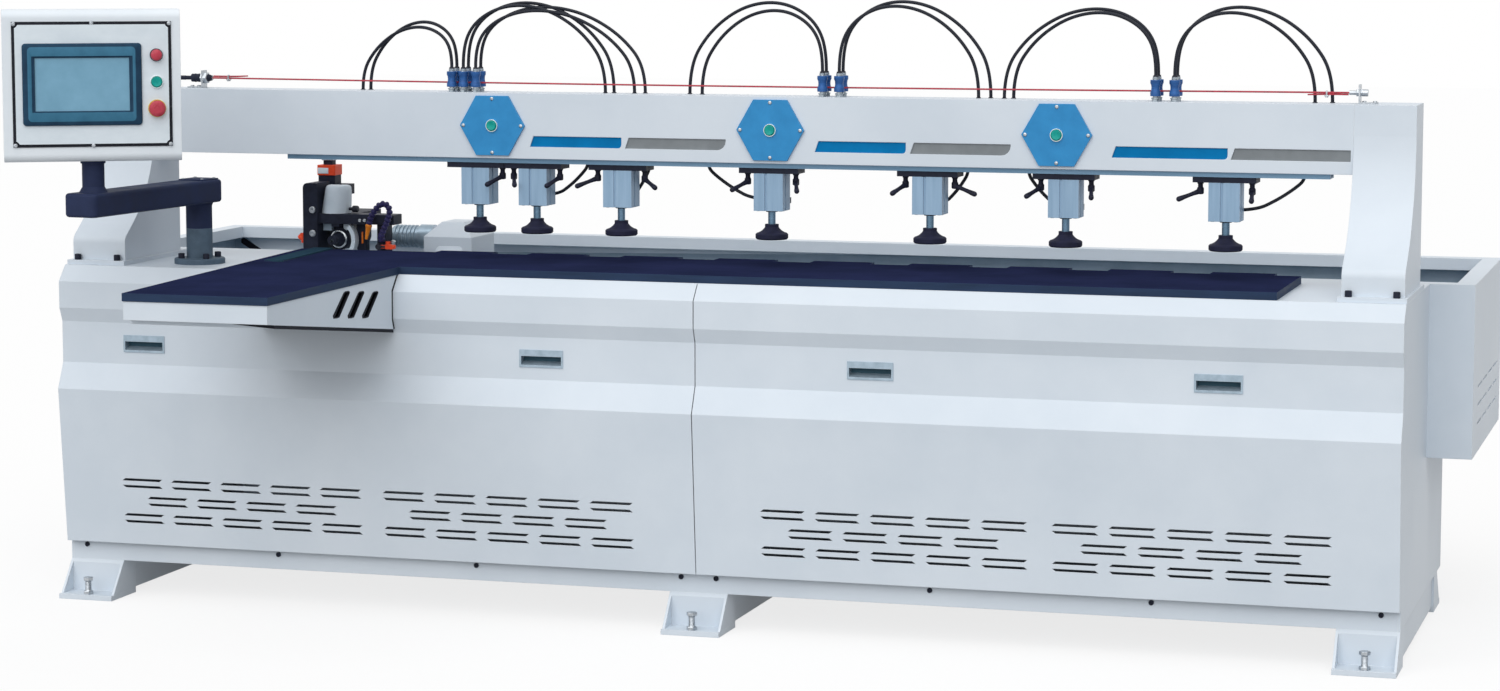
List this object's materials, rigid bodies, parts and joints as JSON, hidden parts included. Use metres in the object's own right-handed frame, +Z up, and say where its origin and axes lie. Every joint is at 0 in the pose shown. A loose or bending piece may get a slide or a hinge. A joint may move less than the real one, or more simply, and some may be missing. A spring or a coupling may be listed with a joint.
{
  "type": "side hole drilling machine",
  "caption": "Floor-standing woodworking machine that drills horizontal holes in panel edges, with a long table, clamp beam, rear drilling carriage and swing-arm control panel.",
  "frame": {"origin": "on the floor under the middle foot, in the plane of the front panels' upper face and at the middle of the bed's length", "axes": "+X along the bed to the operator's right, +Y from the operator to the rear trough, +Z up"},
  "size_m": [3.47, 1.942, 1.4734],
  "materials": {
    "painted_steel": "light grey-white powder coat, fine texture",
    "table_board": "dark blue-black hard board, matt",
    "steel": "machined steel",
    "aluminium": "clear anodised extrusion",
    "black_steel": "black oxide and black paint",
    "arm_paint": "dark blue-grey powder coat",
    "blue_trim": "blue satin sheet",
    "black_plastic": "moulded glass-filled nylon",
    "screen": "moulded bezel with a glass front",
    "green_plastic": "moulded button cap",
    "red_plastic": "moulded mushroom head",
    "rope_red": "plastic-coated wire rope",
    "hose_black": "polyurethane air hose",
    "valve": "anodised sleeve on a nickel-plated body"
  },
  "bodies": {
    "machine_bed": {"base_frame": "painted_steel", "bed_housing": "painted_steel", "left_front_panel": "painted_steel", "right_front_panel": "painted_steel", "panel_handles": "aluminium", "rear_trough": "painted_steel", "x_guideway": "steel", "work_table": "table_board", "table_bracket": "painted_steel", "beam_columns": "painted_steel", "clamp_beam": "painted_steel", "clamp_rail": "aluminium", "beam_trim": "blue_trim", "fasteners": "steel", "pull_cord_hardware": "steel", "pull_rope": "rope_red", "slide_valves": "valve", "valve_hoses": "hose_black", "clamp_hoses": "hose_black", "arm_post": "steel"},
    "swing_arm": {"swing_arm": "arm_paint"},
    "control_panel": {"control_box": "painted_steel", "control_faceplate": "aluminium", "touch_screen": "screen"},
    "start_button": {"start_button": "green_plastic"},
    "estop_button": {"estop_button": "red_plastic"},
    "beam_button_1": {"beam_button_1": "green_plastic"},
    "beam_button_2": {"beam_button_2": "green_plastic"},
    "beam_button_3": {"beam_button_3": "green_plastic"},
    "clamp_1": {"clamp_1": "aluminium"},
    "clamp_rod_1": {"clamp_rod_1": "steel"},
    "clamp_2": {"clamp_2": "aluminium"},
    "clamp_rod_2": {"clamp_rod_2": "steel"},
    "clamp_3": {"clamp_3": "aluminium"},
    "clamp_rod_3": {"clamp_rod_3": "steel"},
    "clamp_4": {"clamp_4": "aluminium"},
    "clamp_rod_4": {"clamp_rod_4": "steel"},
    "clamp_5": {"clamp_5": "aluminium"},
    "clamp_rod_5": {"clamp_rod_5": "steel"},
    "clamp_6": {"clamp_6": "aluminium"},
    "clamp_rod_6": {"clamp_rod_6": "steel"},
    "clamp_7": {"clamp_7": "aluminium"},
    "clamp_rod_7": {"clamp_rod_7": "steel"},
    "clamp_1_right_lever": {"clamp_1_right_lever": "black_plastic"},
    "clamp_2_left_lever": {"clamp_2_left_lever": "black_plastic"},
    "clamp_2_right_lever": {"clamp_2_right_lever": "black_plastic"},
    "clamp_3_left_lever": {"clamp_3_left_lever": "black_plastic"},
    "clamp_3_right_lever": {"clamp_3_right_lever": "black_plastic"},
    "clamp_4_left_lever": {"clamp_4_left_lever": "black_plastic"},
    "clamp_4_right_lever": {"clamp_4_right_lever": "black_plastic"},
    "clamp_5_left_lever": {"clamp_5_left_lever": "black_plastic"},
    "clamp_5_right_lever": {"clamp_5_right_lever": "black_plastic"},
    "clamp_6_left_lever": {"clamp_6_left_lever": "black_plastic"},
    "clamp_6_right_lever": {"clamp_6_right_lever": "black_plastic"},
    "clamp_7_left_lever": {"clamp_7_left_lever": "black_plastic"},
    "clamp_7_right_lever": {"clamp_7_right_lever": "black_plastic"},
    "x_carriage": {"x_carriage": "painted_steel"},
    "z_slide": {"z_slide": "black_steel"},
    "spindle_head": {"spindle_head": "steel"},
    "spindle_rotor": {"spindle_rotor": "steel"}
  },
  "joints": [
    {"name": "arm_swivel", "type": "hinge", "parent": "machine_bed", "child": "swing_arm", "pos_m": [-1.33, 0.165, 0.97], "axis": [0, 0, 1], "range_deg": [-35, 60]},
    {"name": "panel_swivel", "type": "hinge", "parent": "swing_arm", "child": "control_panel", "pos_m": [-1.38026, -0.29023, 1.101], "axis": [0, 0, 1], "range_deg": [-45, 45]},
    {"name": "start_press", "type": "slide", "parent": "control_panel", "child": "start_button", "axis": [-0.4894, 0.8721, 0], "range_m": [0, 0.004], "stiffness_N_per_m": 400, "springref_m": -0.001},
    {"name": "estop_press", "type": "slide", "parent": "control_panel", "child": "estop_button", "axis": [-0.4894, 0.8721, 0], "range_m": [0, 0.005], "stiffness_N_per_m": 800, "springref_m": -0.001},
    {"name": "beam_button_1_press", "type": "slide", "parent": "machine_bed", "child": "beam_button_1", "axis": [0, 1, 0], "range_m": [0, 0.004], "stiffness_N_per_m": 400, "springref_m": -0.001},
    {"name": "beam_button_2_press", "type": "slide", "parent": "machine_bed", "child": "beam_button_2", "axis": [0, 1, 0], "range_m": [0, 0.004], "stiffness_N_per_m": 400, "springref_m": -0.001},
    {"name": "beam_button_3_press", "type": "slide", "parent": "machine_bed", "child": "beam_button_3", "axis": [0, 1, 0], "range_m": [0, 0.004], "stiffness_N_per_m": 400, "springref_m": -0.001},
    {"name": "clamp_1_slide", "type": "slide", "parent": "machine_bed", "child": "clamp_1", "axis": [1, 0, 0], "range_m": [-0.39, 0]},
    {"name": "clamp_1_stroke", "type": "slide", "parent": "clamp_1", "child": "clamp_rod_1", "axis": [0, 0, 1], "range_m": [-0.062, 0]},
    {"name": "clamp_2_slide", "type": "slide", "parent": "machine_bed", "child": "clamp_2", "axis": [1, 0, 0], "range_m": [0, 0.012], "deforming": ["clamp_hoses"]},
    {"name": "clamp_2_stroke", "type": "slide", "parent": "clamp_2", "child": "clamp_rod_2", "axis": [0, 0, 1], "range_m": [-0.062, 0]},
    {"name": "clamp_3_slide", "type": "slide", "parent": "machine_bed", "child": "clamp_3", "axis": [1, 0, 0], "range_m": [-0.012, 0.055], "deforming": ["clamp_hoses"]},
    {"name": "clamp_3_stroke", "type": "slide", "parent": "clamp_3", "child": "clamp_rod_3", "axis": [0, 0, 1], "range_m": [-0.062, 0]},
    {"name": "clamp_4_slide", "type": "slide", "parent": "machine_bed", "child": "clamp_4", "axis": [1, 0, 0], "range_m": [-0.055, 0.055], "deforming": ["clamp_hoses"]},
    {"name": "clamp_4_stroke", "type": "slide", "parent": "clamp_4", "child": "clamp_rod_4", "axis": [0, 0, 1], "range_m": [-0.062, 0]},
    {"name": "clamp_5_slide", "type": "slide", "parent": "machine_bed", "child": "clamp_5", "axis": [1, 0, 0], "range_m": [-0.06, 0.03], "deforming": ["clamp_hoses"]},
    {"name": "clamp_5_stroke", "type": "slide", "parent": "clamp_5", "child": "clamp_rod_5", "axis": [0, 0, 1], "range_m": [-0.062, 0]},
    {"name": "clamp_6_slide", "type": "slide", "parent": "machine_bed", "child": "clamp_6", "axis": [1, 0, 0], "range_m": [-0.03, 0.055], "deforming": ["clamp_hoses"]},
    {"name": "clamp_6_stroke", "type": "slide", "parent": "clamp_6", "child": "clamp_rod_6", "axis": [0, 0, 1], "range_m": [-0.062, 0]},
    {"name": "clamp_7_slide", "type": "slide", "parent": "machine_bed", "child": "clamp_7", "axis": [1, 0, 0], "range_m": [-0.055, 0.1], "deforming": ["clamp_hoses"]},
    {"name": "clamp_7_stroke", "type": "slide", "parent": "clamp_7", "child": "clamp_rod_7", "axis": [0, 0, 1], "range_m": [-0.062, 0]},
    {"name": "clamp_1_right_lever_turn", "type": "hinge", "parent": "clamp_1", "child": "clamp_1_right_lever", "pos_m": [-0.5765, 0.285, 1.063], "axis": [0, 0, 1], "range_deg": [-1.4, 19.6]},
    {"name": "clamp_2_left_lever_turn", "type": "hinge", "parent": "clamp_2", "child": "clamp_2_left_lever", "pos_m": [-0.5475, 0.285, 1.063], "axis": [0, 0, 1], "range_deg": [-19, 2]},
    {"name": "clamp_2_right_lever_turn", "type": "hinge", "parent": "clamp_2", "child": "clamp_2_right_lever", "pos_m": [-0.4285, 0.285, 1.063], "axis": [0, 0, 1], "range_deg": [-8, 26]},
    {"name": "clamp_3_left_lever_turn", "type": "hinge", "parent": "clamp_3", "child": "clamp_3_left_lever", "pos_m": [-0.3315, 0.285, 1.063], "axis": [0, 0, 1], "range_deg": [-24, 70]},
    {"name": "clamp_3_right_lever_turn", "type": "hinge", "parent": "clamp_3", "child": "clamp_3_right_lever", "pos_m": [-0.2125, 0.285, 1.063], "axis": [0, 0, 1], "range_deg": [-69, 25]},
    {"name": "clamp_4_left_lever_turn", "type": "hinge", "parent": "clamp_4", "child": "clamp_4_left_lever", "pos_m": [0.0465, 0.285, 1.063], "axis": [0, 0, 1], "range_deg": [-44, 50]},
    {"name": "clamp_4_right_lever_turn", "type": "hinge", "parent": "clamp_4", "child": "clamp_4_right_lever", "pos_m": [0.1655, 0.285, 1.063], "axis": [0, 0, 1], "range_deg": [-42, 52]},
    {"name": "clamp_5_left_lever_turn", "type": "hinge", "parent": "clamp_5", "child": "clamp_5_left_lever", "pos_m": [0.4335, 0.285, 1.063], "axis": [0, 0, 1], "range_deg": [-50, 44]},
    {"name": "clamp_5_right_lever_turn", "type": "hinge", "parent": "clamp_5", "child": "clamp_5_right_lever", "pos_m": [0.5525, 0.285, 1.063], "axis": [0, 0, 1], "range_deg": [-94, 0]},
    {"name": "clamp_6_left_lever_turn", "type": "hinge", "parent": "clamp_6", "child": "clamp_6_left_lever", "pos_m": [0.7575, 0.285, 1.063], "axis": [0, 0, 1], "range_deg": [-45, 49]},
    {"name": "clamp_6_right_lever_turn", "type": "hinge", "parent": "clamp_6", "child": "clamp_6_right_lever", "pos_m": [0.8765, 0.285, 1.063], "axis": [0, 0, 1], "range_deg": [-35, 59]},
    {"name": "clamp_7_left_lever_turn", "type": "hinge", "parent": "clamp_7", "child": "clamp_7_left_lever", "pos_m": [1.1305, 0.285, 1.063], "axis": [0, 0, 1], "range_deg": [-16, 78]},
    {"name": "clamp_7_right_lever_turn", "type": "hinge", "parent": "clamp_7", "child": "clamp_7_right_lever", "pos_m": [1.2495, 0.285, 1.063], "axis": [0, 0, 1], "range_deg": [-31, 63]},
    {"name": "carriage_travel", "type": "slide", "parent": "machine_bed", "child": "x_carriage", "axis": [1, 0, 0], "range_m": [-0.12, 2.36]},
    {"name": "spindle_lift", "type": "slide", "parent": "x_carriage", "child": "z_slide", "axis": [0, 0, 1], "range_m": [0, 0.04]},
    {"name": "spindle_feed", "type": "slide", "parent": "z_slide", "child": "spindle_head", "axis": [0, -1, 0], "range_m": [0, 0.07]},
    {"name": "spindle_turn", "type": "hinge", "parent": "spindle_head", "child": "spindle_rotor", "pos_m": [-1.127, 0.508, 0.852], "axis": [0, -1, 0], "continuous": true}
  ]
}
